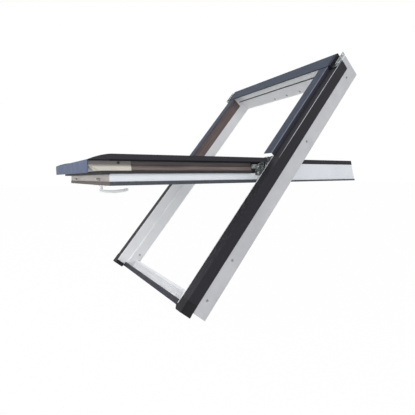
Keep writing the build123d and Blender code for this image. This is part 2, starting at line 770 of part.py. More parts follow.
# Bottom rail with the chamber of the lock, slots for its cams and the pocket of its gear
with BuildPart() as bottom_rail:
    bar_across(
        SASH_TILT,
        [
            (SASH_BOTTOM, SASH_ROOM),
            (BOTTOM_RAIL_INNER, SASH_ROOM),
            (BOTTOM_RAIL_INNER, REBATE),
            (BOTTOM_WALL_INNER, REBATE),
            (BOTTOM_WALL_INNER, WALL_TOP),
            (SASH_BOTTOM, WALL_TOP),
        ],
        -SASH_SIDE,
        SASH_SIDE,
    )
    block(
        SASH_TILT,
        (-LOCK_GROOVE_HALF_LENGTH, LOCK_START, LOCK_OUT - LOCK_GROOVE / 2),
        (LOCK_GROOVE_HALF_LENGTH, LOCK_START + LOCK_GROOVE_DEPTH, LOCK_OUT + LOCK_GROOVE / 2),
        Mode.SUBTRACT,
    )
    slot_half = LOCK_CAM_RADIUS + LOCK_CLEARANCE
    for middle in (-LOCK_CAM_SPACING / 2, LOCK_CAM_SPACING / 2):
        block(
            SASH_TILT,
            (middle - slot_half, SASH_BOTTOM, LOCK_OUT - slot_half),
            (middle + LOCK_TRAVEL + slot_half, LOCK_START, LOCK_OUT + slot_half),
            Mode.SUBTRACT,
        )
    case_start = HANDLE_ALONG - LOCK_CASE_LENGTH / 2
    case_end = HANDLE_ALONG + LOCK_CASE_LENGTH / 2
    block(
        SASH_TILT,
        (-LOCK_CASE_HALF_WIDTH, case_start, SASH_ROOM),
        (LOCK_CASE_HALF_WIDTH, case_end, SASH_ROOM + LOCK_CASE_DEPTH),
        Mode.SUBTRACT,
    )
keep(bottom_rail, "sash_bottom_rail")

# Beige profile in front of the bottom rail, which overhangs the sill
with BuildPart() as rail_front:
    bar_across(
        SASH_TILT,
        [
            (SASH_BOTTOM, TRIM_BOTTOM),
            (RAIL_FRONT + RAIL_FRONT_CHAMFER, TRIM_BOTTOM),
            (RAIL_FRONT, TRIM_BOTTOM + RAIL_FRONT_CHAMFER),
            (RAIL_FRONT, TRIM_TOP),
            (SASH_BOTTOM, TRIM_TOP),
        ],
        -SASH_SIDE,
        SASH_SIDE,
    )
keep(rail_front, "bottom_rail_front")

# Seal under the overhang, which meets the cover of the sill and runs back under the trims
with BuildPart() as step_gasket:
    step_middle = (FRAME_BOTTOM + SILL_INNER) / 2
    step_height = TRIM_BOTTOM - SILL_TOP - SHEET - STEP_GASKET_CLEARANCE
    step_half = SASH_SIDE + STEP_GASKET_SIDE
    block(
        SASH_TILT,
        (-step_half, step_middle - STEP_GASKET_WIDTH / 2, TRIM_BOTTOM - step_height),
        (step_half, SASH_BOTTOM, TRIM_BOTTOM),
    )
    for left, right in ((-step_half, -SASH_SIDE), (SASH_SIDE, step_half)):
        block(
            SASH_TILT,
            (left, SASH_BOTTOM, TRIM_BOTTOM - STEP_GASKET_SIDE_HEIGHT),
            (right, -TRIM_FROM_PIVOT, TRIM_BOTTOM),
        )
keep(step_gasket, "step_gasket")

# Double glazing
for node, pane_out in (("outer_pane", PANE_TOP - PANE), ("inner_pane", INNER_PANE_TOP - PANE)):
    with BuildPart() as pane:
        block(
            SASH_TILT,
            (-GLASS_HALF_WIDTH, GLASS_BOTTOM, pane_out),
            (GLASS_HALF_WIDTH, GLASS_TOP, pane_out + PANE),
        )
    keep(pane, node)

with BuildPart() as sealant:
    ring(GLASS_HALF_WIDTH, GLASS_BOTTOM, GLASS_TOP, SPACER_INSET, INNER_PANE_TOP, PANE_GAP)
keep(sealant, "glass_sealant")

with BuildPart() as spacer:
    ring(
        GLASS_HALF_WIDTH - SPACER_INSET,
        GLASS_BOTTOM + SPACER_INSET,
        GLASS_TOP - SPACER_INSET,
        SPACER_WIDTH,
        INNER_PANE_TOP,
        PANE_GAP,
    )
keep(spacer, "glass_spacer")

with BuildPart() as inner_gasket:
    ring(GLASS_HALF_WIDTH, GLASS_BOTTOM, GLASS_TOP, GASKET_WIDTH, REBATE, INNER_GASKET)
keep(inner_gasket, "inner_glazing_gasket")

with BuildPart() as outer_gasket:
    ring(GLASS_HALF_WIDTH, GLASS_BOTTOM, GLASS_TOP, GASKET_WIDTH, PANE_TOP, GASKET)
keep(outer_gasket, "outer_glazing_gasket")

# Dark beads that hold the glass in the upper half
with BuildPart() as bead:
    bar_along(
        SASH_TILT,
        [
            (BEAD_INNER, SASH_FACE - BEAD_LIP_THICKNESS),
            (BEAD_INNER, SASH_FACE),
            (SASH_SIDE, SASH_FACE),
            (SASH_SIDE, WALL_TOP),
            (WALL_INNER, WALL_TOP),
            (WALL_INNER, SASH_FACE - BEAD_LIP_THICKNESS),
        ],
        TOP_WALL_INNER,
        JOINT_GAP - COVER_END_GAP,
    )
keep_pair(bead, "upper_glazing_bead")

with BuildPart() as top_bead:
    bar_across(
        SASH_TILT,
        [
            (TOP_WALL_INNER, SASH_FACE),
            (top_end(SASH_FACE), SASH_FACE),
            (top_end(WALL_TOP), WALL_TOP),
            (TOP_WALL_INNER, WALL_TOP),
        ],
        -SASH_SIDE,
        SASH_SIDE,
    )
    block(
        SASH_TILT,
        (-BEAD_INNER, TOP_BEAD_LIP, SASH_FACE - BEAD_LIP_THICKNESS),
        (BEAD_INNER, TOP_WALL_INNER, SASH_FACE),
    )
keep(top_bead, "top_glazing_bead")

# Dark covers of the lower half: a hooked sheet on a leg, ending in a rounded nose
with BuildPart() as lower_cover:
    flange_inner = LOWER_COVER_HALF_WIDTH - SHEET
    leg_inner = SASH_SIDE - LOWER_COVER_LEG
    bar_along(
        SASH_TILT,
        [
            (BEAD_INNER, SASH_FACE - BEAD_LIP_THICKNESS),
            (BEAD_INNER, COVER_FACE),
            (LOWER_COVER_HALF_WIDTH, COVER_FACE),
            (LOWER_COVER_HALF_WIDTH, COVER_FACE - LOWER_COVER_FLANGE),
            (flange_inner, COVER_FACE - LOWER_COVER_FLANGE),
            (flange_inner, COVER_UNDER),
            (SASH_SIDE, COVER_UNDER),
            (SASH_SIDE, WALL_TOP),
            (leg_inner, WALL_TOP),
            (leg_inner, COVER_UNDER),
            (BEAD_INNER + SHEET, COVER_UNDER),
            (BEAD_INNER + SHEET, SASH_FACE - BEAD_LIP_THICKNESS),
        ],
        -COVER_END_GAP,
        SASH_BOTTOM,
    )
    nose_middle = (
        (SASH_BOTTOM + COVER_BOTTOM) / 2,
        COVER_FACE - NOSE_DROP * NOSE_BULGE_SHARE,
    )
    with BuildSketch(across(SASH_TILT, leg_inner)) as nose:
        with BuildLine():
            ThreePointArc((SASH_BOTTOM, COVER_FACE), nose_middle, (COVER_BOTTOM, NOSE_UNDER))
            Line((COVER_BOTTOM, NOSE_UNDER), (SASH_BOTTOM, NOSE_UNDER))
            Line((SASH_BOTTOM, NOSE_UNDER), (SASH_BOTTOM, COVER_FACE))
        make_face()
    extrude(nose.sketch, amount=LOWER_COVER_HALF_WIDTH - leg_inner)
    block(SASH_TILT, (leg_inner, RAIL_FRONT, TRIM_TOP), (TRIM_OUTER, SASH_BOTTOM, NOSE_UNDER))
keep_pair(lower_cover, "lower_side_cover")

# Blue-grey cover of the bottom rail, folded down in front of the sill
with BuildPart() as rail_cover:
    cover_lip = GLASS_BOTTOM + GASKET_WIDTH
    front_top = NOSE_UNDER
    front_bottom = front_top - RAIL_COVER_FRONT_DROP
    lip_half = BEAD_INNER - RAIL_COVER_SIDE_GAP
    sheet_half = leg_inner - RAIL_COVER_SIDE_GAP
    bar_across(
        SASH_TILT,
        [
            (cover_lip, SASH_FACE - BEAD_LIP_THICKNESS),
            (cover_lip, COVER_FACE),
            (SASH_BOTTOM, COVER_FACE),
            (SASH_BOTTOM, WALL_TOP),
            (SASH_BOTTOM + LOWER_COVER_LEG, WALL_TOP),
            (SASH_BOTTOM + LOWER_COVER_LEG, COVER_UNDER),
            (cover_lip - SHEET, COVER_UNDER),
            (cover_lip - SHEET, SASH_FACE - BEAD_LIP_THICKNESS),
        ],
        -lip_half,
        lip_half,
    )
    bar_across(
        SASH_TILT,
        [
            (SASH_BOTTOM, COVER_FACE),
            (RAIL_COVER_FRONT, front_top),
            (RAIL_COVER_FRONT, front_bottom),
            (RAIL_COVER_FRONT + SHEET, front_bottom),
            (RAIL_COVER_FRONT + SHEET, front_top - SHEET),
            (SASH_BOTTOM, COVER_UNDER),
        ],
        -sheet_half,
        sheet_half,
    )
    block(
        SASH_TILT,
        (-TRIM_OUTER, RAIL_COVER_FRONT, front_bottom),
        (TRIM_OUTER, RAIL_COVER_FRONT + SHEET, front_top - SHEET),
    )
keep(rail_cover, "bottom_rail_cover")

# Brown trims on the sides of the lower half, drawn in under the cover
trim_step = TRIM_BOTTOM + TRIM_HEIGHT * TRIM_STEP_SHARE
trim_profile = [
    (SASH_SIDE, TRIM_BOTTOM),
    (TRIM_OUTER, TRIM_BOTTOM),
    (TRIM_OUTER, trim_step),
    (SASH_SIDE + TRIM_NECK, trim_step + TRIM_HEIGHT * TRIM_SLANT_SHARE),
    (SASH_SIDE + TRIM_NECK, TRIM_TOP),
    (SASH_SIDE, TRIM_TOP),
]
with BuildPart() as trim:
    bar_along(SASH_TILT, trim_profile, -TRIM_FROM_PIVOT, END_PLATE_TOP)
    outer_edges = trim.edges().filter_by(slope_axis(SASH_TILT)).group_by(Axis.X)[-1]
    fillet(outer_edges, radius=TRIM_ROUND)
keep_pair(trim, "side_trim")

# Beige plates that close the lower corners, each with one screw
screw_place = (
    END_PLATE_TOP + (RAIL_FRONT - END_PLATE_TOP) * END_PLATE_SCREW_SHARES[0],
    TRIM_TOP + (TRIM_BOTTOM - TRIM_TOP) * END_PLATE_SCREW_SHARES[1],
)
with BuildPart() as end_plate:
    bar_along(SASH_TILT, trim_profile, END_PLATE_TOP, RAIL_FRONT)
    bar_across(
        SASH_TILT,
        [
            (RAIL_FRONT, TRIM_BOTTOM),
            (RAIL_FRONT + END_PLATE_CUT_LENGTH, TRIM_BOTTOM),
            (RAIL_FRONT, TRIM_BOTTOM + END_PLATE_CUT_HEIGHT),
        ],
        SASH_SIDE,
        TRIM_OUTER,
        Mode.SUBTRACT,
    )
    disc_at(SASH_TILT, SASH_SIDE, screw_place, END_PLATE_SCREW_RADIUS, TRIM_NECK, Mode.SUBTRACT)
keep_pair(end_plate, "corner_end_plate")

with BuildPart() as plate_screws:
    disc_at(SASH_TILT, SASH_SIDE, screw_place, END_PLATE_SCREW_RADIUS, TRIM_NECK)
    disc_at(SASH_TILT, SASH_SIDE + TRIM_NECK, screw_place, END_PLATE_SCREW_HEAD, END_PLATE_SCREW_HEIGHT)
    mirror(about=Plane.YZ)
keep(plate_screws, "end_plate_screws")

# Packers between the stiles and the hinges
with BuildPart() as packer:
    block(
        SASH_TILT,
        (SASH_SIDE, JOINT_GAP - TRIM_FROM_PIVOT, TRIM_BOTTOM - STEP_GASKET_SIDE_HEIGHT),
        (HINGE_SASH_BACK, HINGE_PACKER_PAST_PIVOT, TRIM_TOP),
    )
keep_pair(packer, "hinge_packer")

# Sash half of the pivot hinge: an angled arm on the packer, with the pin and three studs
with BuildPart() as sash_hinge:
    foot_far = -HINGE_SASH_NEAR - HINGE_FOOT_WIDTH
    arm_bottom = -HINGE_SASH_TOP - HINGE_ARM_HEIGHT
    with BuildSketch(across(SASH_TILT, HINGE_SASH_BACK)) as plate:
        with BuildLine():
            Polyline(
                (-HINGE_SASH_LENGTH, arm_bottom),
                (foot_far, arm_bottom),
                (foot_far, -HINGE_SASH_BOTTOM),
                (-HINGE_SASH_NEAR, -HINGE_SASH_BOTTOM),
                (KNUCKLE_RADIUS, 0),
                (-KNUCKLE_RADIUS, 0),
                (-HINGE_SASH_NEAR - HINGE_NECK_WIDTH, -HINGE_SASH_TOP),
                (-HINGE_SASH_LENGTH, -HINGE_SASH_TOP),
                close=True,
            )
        make_face()
        fillet(plate.vertices().group_by(Axis.X)[0], radius=HINGE_CORNER)
        Circle(KNUCKLE_RADIUS)
    extrude(plate.sketch, amount=HINGE_SASH_PLATE)
    boss_length = KNUCKLE_INNER - HINGE_BOSS_GAP - HINGE_SASH_FACE
    disc_at(SASH_TILT, HINGE_SASH_FACE, (0, 0), KNUCKLE_RADIUS, boss_length)
    disc_at(SASH_TILT, HINGE_SASH_FACE, (0, 0), PIN_RADIUS, KNUCKLE_OUTER - HINGE_SASH_FACE)
    for run_share, height_share in HINGE_STUD_SHARES:
        stud_place = (
            -HINGE_SASH_NEAR - (HINGE_SASH_LENGTH - HINGE_SASH_NEAR) * run_share,
            -HINGE_SASH_TOP - (HINGE_SASH_BOTTOM - HINGE_SASH_TOP) * height_share,
        )
        disc_at(SASH_TILT, HINGE_SASH_FACE, stud_place, HINGE_STUD_RADIUS, HINGE_STUD_HEIGHT)
keep_pair(sash_hinge, "hinge_sash_plate")

# Grey seals along the room edge of the sash
with BuildPart() as room_seal:
    block(
        SASH_TILT,
        (SASH_SIDE, SASH_BOTTOM, SASH_ROOM),
        (SASH_SIDE + SEAL_THICKNESS, -TRIM_FROM_PIVOT, SASH_ROOM + SEAL_HEIGHT_LOWER),
    )
    block(
        SASH_TILT,
        (SASH_SIDE, SEAL_FROM_PIVOT, SASH_ROOM),
        (SASH_SIDE + SEAL_THICKNESS, top_end(SASH_ROOM + SEAL_HEIGHT_UPPER), SASH_ROOM + SEAL_HEIGHT_UPPER),
    )
keep_pair(room_seal, "room_seal")

with BuildPart() as bottom_seal:
    block(
        SASH_TILT,
        (-SASH_SIDE, SASH_BOTTOM - SEAL_BOTTOM_THICKNESS, SASH_ROOM),
        (SASH_SIDE, SASH_BOTTOM, SASH_ROOM + SEAL_HEIGHT_LOWER),
    )
keep(bottom_seal, "room_seal_bottom")

# Lock: gear case in the rail, and a rod with two cams in its chamber
with BuildPart() as lock_case:
    block(
        SASH_TILT,
        (LOCK_CLEARANCE - LOCK_CASE_HALF_WIDTH, case_start + LOCK_CLEARANCE, SASH_ROOM),
        (LOCK_CASE_HALF_WIDTH - LOCK_CLEARANCE, case_end - LOCK_CLEARANCE, SASH_ROOM + LOCK_CASE_DEPTH),
    )
    with BuildSketch(facing(SASH_TILT, SASH_ROOM)) as spindle_hole:
        with Locations((0, HANDLE_ALONG)):
            Circle(SPINDLE_RADIUS + PIN_CLEARANCE)
    extrude(spindle_hole.sketch, amount=LOCK_CASE_DEPTH - OVERRUN, mode=Mode.SUBTRACT)
keep(lock_case, "lock_gear_case")

with BuildPart() as lock_rod:
    rod_start = LOCK_START + LOCK_GROOVE_DEPTH - LOCK_CLEARANCE - LOCK_ROD_THICKNESS
    rod_half_width = LOCK_GROOVE / 2 - LOCK_CLEARANCE
    block(
        SASH_TILT,
        (-LOCK_ROD_HALF_LENGTH, rod_start, LOCK_OUT - rod_half_width),
        (LOCK_ROD_HALF_LENGTH, rod_start + LOCK_ROD_THICKNESS, LOCK_OUT + rod_half_width),
    )
    with BuildSketch(along(SASH_TILT, rod_start)) as cams:
        with Locations((0, LOCK_OUT)):
            with GridLocations(LOCK_CAM_SPACING, 0, 2, 1):
                Circle(LOCK_CAM_RADIUS)
    extrude(cams.sketch, amount=rod_start - SASH_BOTTOM + LOCK_CAM_REACH)
keep(lock_rod, "lock_rod")

# Handle: rosette on the room face, lever that turns in it
with BuildPart() as rosette:
    block(
        SASH_TILT,
        (-ROSETTE_HALF_WIDTH, HANDLE_ALONG - ROSETTE_LENGTH / 2, SASH_ROOM - ROSETTE_HEIGHT),
        (ROSETTE_HALF_WIDTH, HANDLE_ALONG + ROSETTE_LENGTH / 2, SASH_ROOM),
    )
    fillet(rosette.edges().filter_by(out_axis(SASH_TILT)), radius=ROSETTE_CORNER)
    room_side = rosette.faces().sort_by(out_axis(SASH_TILT))[0]
    chamfer(room_side.edges(), length=ROSETTE_CHAMFER)
    with BuildSketch(facing(SASH_TILT, SASH_ROOM)) as spindle_hole:
        with Locations((0, HANDLE_ALONG)):
            Circle(SPINDLE_RADIUS + PIN_CLEARANCE)
    extrude(spindle_hole.sketch, amount=-ROSETTE_HEIGHT, mode=Mode.SUBTRACT)
keep(rosette, "handle_rosette")

with BuildPart() as handle:
    neck_top = SASH_ROOM - ROSETTE_HEIGHT - RUNNING_GAP
    neck_bottom = neck_top - NECK_HEIGHT
    grip_start = HANDLE_ALONG - GRIP_WIDTH / 2
    grip_end = grip_start + GRIP_LENGTH
    grip_middle = (grip_start + grip_end) / 2
    with BuildSketch(across(SASH_TILT, -GRIP_WIDTH / 2)) as grip:
        with BuildLine():
            Line((grip_start, neck_bottom), (grip_start, neck_bottom - GRIP_THICKNESS))
            ThreePointArc(
                (grip_start, neck_bottom - GRIP_THICKNESS),
                (grip_middle, neck_bottom - GRIP_THICKNESS - GRIP_BOW),
                (grip_end, neck_bottom - GRIP_THICKNESS),
            )
            Line((grip_end, neck_bottom - GRIP_THICKNESS), (grip_end, neck_bottom))
            ThreePointArc(
                (grip_end, neck_bottom),
                (grip_middle, neck_bottom - GRIP_BOW),
                (grip_start, neck_bottom),
            )
        make_face()
    extrude(grip.sketch, amount=GRIP_WIDTH)
    chamfer(handle.edges(), length=GRIP_CHAMFER)
    with BuildSketch(facing(SASH_TILT, neck_bottom - GRIP_THICKNESS / 2)) as neck:
        with Locations((0, HANDLE_ALONG)):
            Circle(NECK_RADIUS - OVERRUN)
    extrude(neck.sketch, amount=NECK_HEIGHT + GRIP_THICKNESS / 2)
    with BuildSketch(facing(SASH_TILT, neck_top)) as spindle:
        with Locations((0, HANDLE_ALONG)):
            Circle(SPINDLE_RADIUS)
    extrude(spindle.sketch, amount=ROSETTE_HEIGHT + RUNNING_GAP + LOCK_CASE_DEPTH - 2 * OVERRUN)
keep(handle, "handle")
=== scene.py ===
"""Looks of a centre-pivot roof window: softened profiles, finishes, small fittings, studio and camera.

Metres, in the frame of the part: +Z up, +X to the right seen from outside, +Y into the room, and the
origin in the middle of the pivot axis. The frame lies on the roof's slope and the sash is swung out level.
"""
import json
from math import cos, pi, radians, sin

import bpy
from mathutils import Matrix, Vector

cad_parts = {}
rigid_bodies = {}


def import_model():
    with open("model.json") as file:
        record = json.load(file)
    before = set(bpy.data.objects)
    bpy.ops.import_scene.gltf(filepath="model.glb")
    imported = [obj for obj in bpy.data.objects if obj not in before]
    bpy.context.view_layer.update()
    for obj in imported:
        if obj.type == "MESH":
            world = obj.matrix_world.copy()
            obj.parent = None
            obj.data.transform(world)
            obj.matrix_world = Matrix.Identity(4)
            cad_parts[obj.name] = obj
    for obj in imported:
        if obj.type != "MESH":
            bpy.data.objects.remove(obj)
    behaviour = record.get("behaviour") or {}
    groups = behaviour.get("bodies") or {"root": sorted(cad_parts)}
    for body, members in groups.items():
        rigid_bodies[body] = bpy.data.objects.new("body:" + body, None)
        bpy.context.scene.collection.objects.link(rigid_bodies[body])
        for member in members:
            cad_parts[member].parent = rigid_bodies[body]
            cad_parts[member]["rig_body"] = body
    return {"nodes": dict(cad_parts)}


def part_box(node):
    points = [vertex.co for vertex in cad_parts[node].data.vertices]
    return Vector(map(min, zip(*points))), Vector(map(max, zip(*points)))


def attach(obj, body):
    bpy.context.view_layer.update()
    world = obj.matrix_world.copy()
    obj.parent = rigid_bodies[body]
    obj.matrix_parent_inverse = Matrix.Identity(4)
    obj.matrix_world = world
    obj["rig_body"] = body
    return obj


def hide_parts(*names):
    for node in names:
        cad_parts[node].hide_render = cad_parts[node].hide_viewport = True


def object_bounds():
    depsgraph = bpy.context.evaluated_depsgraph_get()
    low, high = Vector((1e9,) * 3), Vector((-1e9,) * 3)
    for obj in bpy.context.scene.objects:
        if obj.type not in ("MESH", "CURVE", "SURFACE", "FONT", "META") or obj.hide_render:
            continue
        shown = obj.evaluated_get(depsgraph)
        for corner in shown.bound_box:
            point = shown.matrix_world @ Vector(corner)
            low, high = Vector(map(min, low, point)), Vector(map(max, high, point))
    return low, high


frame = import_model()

CAD_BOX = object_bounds()
NODES = frame["nodes"]
MM = 0.001

# Slope of the roof, which is how far the frame leans back from level
ROOF_PITCH = radians(50)
UP_SLOPE = Vector((0, cos(ROOF_PITCH), sin(ROOF_PITCH)))
OUTWARD = Vector((0, -sin(ROOF_PITCH), cos(ROOF_PITCH)))

# Places read from the frame
FRAME_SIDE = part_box("frame_jamb_right")[1][0]
RAIL_FRONT_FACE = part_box("sash_bottom_rail")[0][1]
CLADDING_FACE = -13 * MM
COVER_FACE = 4 * MM
STILE_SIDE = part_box("sash_stile_right")[1][0]
TRIM_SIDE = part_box("side_trim_right")[1][0]

# Camera of the photograph, whose image is square
IMAGE_SIZE = 415
FOCAL_PIXELS = 333.8
SENSOR_WIDTH = 36.0
CAMERA_PLACE = (1.3146, -0.8441, -0.0628)
CAMERA_AZIMUTH = radians(59.11)
CAMERA_ELEVATION = radians(5.32)
CAMERA_ROLL = radians(-0.57)


def linear(red, green, blue):
    """Colour as a display shows it, from 0 to 255, turned into the shader's linear values."""
    channels = []
    for value in (red, green, blue):
        share = value / 255
        channels.append(share / 12.92 if share <= 0.04045 else ((share + 0.055) / 1.055) ** 2.4)
    return (*channels, 1.0)


# Finishes

def start_finish(name, roughness, metallic=0.0):
    """A material with its shader, and the piece's own coordinates to lay patterns out on."""
    material = bpy.data.materials.new(name)
    material.use_nodes = True
    tree = material.node_tree
    shader = tree.nodes["Principled BSDF"]
    shader.inputs["Roughness"].default_value = roughness
    shader.inputs["Metallic"].default_value = metallic
    place = tree.nodes.new("ShaderNodeTexCoord")
    return material, tree, shader, place.outputs["Object"]


def laid_out(tree, place, stretch, lean=0.0):
    """Coordinates turned to the slope and stretched, for a pattern with a direction."""
    mapping = tree.nodes.new("ShaderNodeMapping")
    mapping.vector_type = "TEXTURE"
    mapping.inputs["Rotation"].default_value = (lean, 0, 0)
    mapping.inputs["Scale"].default_value = stretch
    tree.links.new(place, mapping.inputs["Vector"])
    return mapping.outputs["Vector"]


def cloudy(tree, place, scale, detail=2.0):
    """Soft noise, as a value from 0 to 1."""
    noise = tree.nodes.new("ShaderNodeTexNoise")
    noise.inputs["Scale"].default_value = scale
    noise.inputs["Detail"].default_value = detail
    tree.links.new(place, noise.inputs["Vector"])
    return noise.outputs["Fac"]


def blended(tree, value, colours):
    """A colour that runs through a list of (position, colour) stops."""
    ramp = tree.nodes.new("ShaderNodeValToRGB")
    stops = ramp.color_ramp.elements
    while len(stops) < len(colours):
        stops.new(0.5)
    for stop, (position, colour) in zip(stops, colours):
        stop.position = position
        stop.color = colour
    tree.links.new(value, ramp.inputs["Fac"])
    return ramp.outputs["Color"]


def ranged(tree, value, low, high):
    """A value from 0 to 1 turned into one from low to high."""
    spread = tree.nodes.new("ShaderNodeMapRange")
    spread.inputs["To Min"].default_value = low
    spread.inputs["To Max"].default_value = high
    tree.links.new(value, spread.inputs["Value"])
    return spread.outputs["Result"]


def grained(tree, shader, value, depth, strength):
    """Relief of the surface."""
    bump = tree.nodes.new("ShaderNodeBump")
    bump.inputs["Strength"].default_value = strength
    bump.inputs["Distance"].default_value = depth
    tree.links.new(value, bump.inputs["Height"])
    tree.links.new(bump.outputs["Normal"], shader.inputs["Normal"])


def moulded_plastic(name, pale, dark, roughness, stipple=0.12, gloss=0.5):
    """Extruded PVC or moulded plastic: even colour with a faint bloom and a fine stipple."""
    material, tree, shader, place = start_finish(name, roughness)
    shader.inputs["Specular IOR Level"].default_value = gloss
    bloom = cloudy(tree, place, 9.0, 3.0)
    tree.links.new(blended(tree, bloom, [(0.35, dark), (0.65, pale)]), shader.inputs["Base Color"])
    shine = ranged(tree, cloudy(tree, place, 60.0), roughness * 0.85, roughness * 1.15)
    tree.links.new(shine, shader.inputs["Roughness"])
    grained(tree, shader, cloudy(tree, place, 1400.0), 0.2 * MM, stipple)
    return material


def coated_sheet(name, pale, dark, roughness):
    """Powder-coated sheet: fine orange peel and a little tone from grain to grain."""
    material, tree, shader, place = start_finish(name, roughness)
    shader.inputs["Specular IOR Level"].default_value = 0.14
    tone = cloudy(tree, place, 420.0, 4.0)
    tree.links.new(blended(tree, tone, [(0.3, dark), (0.7, pale)]), shader.inputs["Base Color"])
    shine = ranged(tree, cloudy(tree, place, 30.0), roughness * 0.8, roughness * 1.2)
    tree.links.new(shine, shader.inputs["Roughness"])
    grained(tree, shader, cloudy(tree, place, 900.0, 3.0), 0.25 * MM, 0.25)
    return material


def ridge_painted_highlight(name, heights, coated, highlight):
    """Folded edge with a painted highlight that grows paler towards the top."""
    material, tree, shader, place = start_finish(name, 0.42)
    axes = tree.nodes.new("ShaderNodeSeparateXYZ")
    tree.links.new(place, axes.inputs["Vector"])
    brightening = tree.nodes.new("ShaderNodeMapRange")
    brightening.inputs["From Min"].default_value = heights[0]
    brightening.inputs["From Max"].default_value = heights[1]
    tree.links.new(axes.outputs["Z"], brightening.inputs["Value"])
    colours = [(0.0, coated), (1.0, highlight)]
    tree.links.new(blended(tree, brightening.outputs["Result"], colours), shader.inputs["Base Color"])
    grained(tree, shader, cloudy(tree, place, 700.0), 0.1 * MM, 0.15)
    return material


def hem_painted_highlight(name, heights, coated, hem):
    """Side of a folded sheet with a painted highlight along its turned top edge."""
    material, tree, shader, place = start_finish(name, 0.5)
    out = tree.nodes.new("ShaderNodeVectorMath")
    out.operation = "DOT_PRODUCT"
    out.inputs[1].default_value = OUTWARD
    tree.links.new(place, out.inputs[0])
    turned = tree.nodes.new("ShaderNodeMapRange")
    turned.inputs["From Min"].default_value = heights[0]
    turned.inputs["From Max"].default_value = heights[1]
    tree.links.new(out.outputs["Value"], turned.inputs["Value"])
    colours = [(0.0, coated), (1.0, hem)]
    tree.links.new(blended(tree, turned.outputs["Result"], colours), shader.inputs["Base Color"])
    grained(tree, shader, cloudy(tree, place, 900.0, 3.0), 0.25 * MM, 0.2)
    return material


def foiled_profile(name, lean, pale, middle, dark):
    """Brown foil with long streaks that follow the profile."""
    material, tree, shader, place = start_finish(name, 0.42)
    along = laid_out(tree, place, (0.05, 1.6, 0.05), lean)
    streaks = cloudy(tree, along, 14.0, 6.0)
    colours = [(0.28, dark), (0.5, middle), (0.74, pale)]
    tree.links.new(blended(tree, streaks, colours), shader.inputs["Base Color"])
    grained(tree, shader, streaks, 0.3 * MM, 0.3)
    return material


def zinc_plated(name):
    """Zinc with a faint flake and brushing, a little green in its tone."""
    material, tree, shader, place = start_finish(name, 0.34, metallic=0.9)
    flake = tree.nodes.new("ShaderNodeTexVoronoi")
    flake.inputs["Scale"].default_value = 160.0
    tree.links.new(place, flake.inputs["Vector"])
    shades = [(0.0, linear(92, 98, 99)), (0.5, linear(140, 147, 148)), (1.0, linear(216, 220, 219))]
    tree.links.new(blended(tree, flake.outputs["Distance"], shades), shader.inputs["Base Color"])
    tree.links.new(ranged(tree, cloudy(tree, place, 90.0), 0.18, 0.38), shader.inputs["Roughness"])
    grained(tree, shader, cloudy(tree, laid_out(tree, place, (1, 0.02, 1)), 40.0), 0.1 * MM, 0.2)
    return material


def rubber(name, pale, dark):
    material, tree, shader, place = start_finish(name, 0.7)
    tone = blended(tree, cloudy(tree, place, 240.0), [(0.3, dark), (0.7, pale)])
    tree.links.new(tone, shader.inputs["Base Color"])
    grained(tree, shader, cloudy(tree, place, 1600.0), 0.15 * MM, 0.2)
    return material


def clear_glass(name):
    material, _, shader, _ = start_finish(name, 0.0)
    shader.inputs["Base Color"].default_value = (0.93, 0.97, 0.96, 1)
    shader.inputs["Transmission Weight"].default_value = 1.0
    shader.inputs["IOR"].default_value = 1.5
    return material


def ribbed_spacer(name):
    """Rolled aluminium with the fine cross ribs of a glazing spacer."""
    material, tree, shader, place = start_finish(name, 0.4, metallic=0.85)
    ribs = tree.nodes.new("ShaderNodeTexWave")
    ribs.bands_direction = "DIAGONAL"
    ribs.inputs["Scale"].default_value = 120.0
    tree.links.new(place, ribs.inputs["Vector"])
    shades = [(0.0, linear(150, 152, 156)), (1.0, linear(196, 198, 202))]
    tree.links.new(blended(tree, ribs.outputs["Fac"], shades), shader.inputs["Base Color"])
    grained(tree, shader, ribs.outputs["Fac"], 0.2 * MM, 0.3)
    return material


def white_pvc(name, pale, dark):
    return moulded_plastic(name, linear(*pale), linear(*dark), 0.34, 0.03)


# Heights between which the ridge's painted highlight brightens, and between which the painted highlight
# along the cover's hem begins
RIDGE_HIGHLIGHT_RISE = (-10 * MM, 90 * MM)
HEM_HIGHLIGHT_START = (1 * MM, 2 * MM)

FRAME_WHITE = white_pvc("frame_white_pvc", (238, 238, 240), (231, 231, 234))
# Painted shade: a greyer copy of the frame's white PVC for the jambs' outer sides
SIDE_WHITE_PAINTED_SHADE = white_pvc("frame_side_pvc_painted_shade", (200, 200, 203), (189, 189, 193))
SASH_WHITE = white_pvc("sash_white_pvc", (233, 236, 241), (226, 230, 236))
BEIGE = moulded_plastic("beige_pvc", linear(214, 208, 197), linear(203, 198, 187), 0.4)
# The beige is the rail's own colour; this darker grey-beige copy on the rail's front faces is painted
# shade
BEIGE_PAINTED_SHADE = moulded_plastic("beige_painted_shade_pvc", linear(166, 161, 157), linear(155, 150, 146), 0.42)
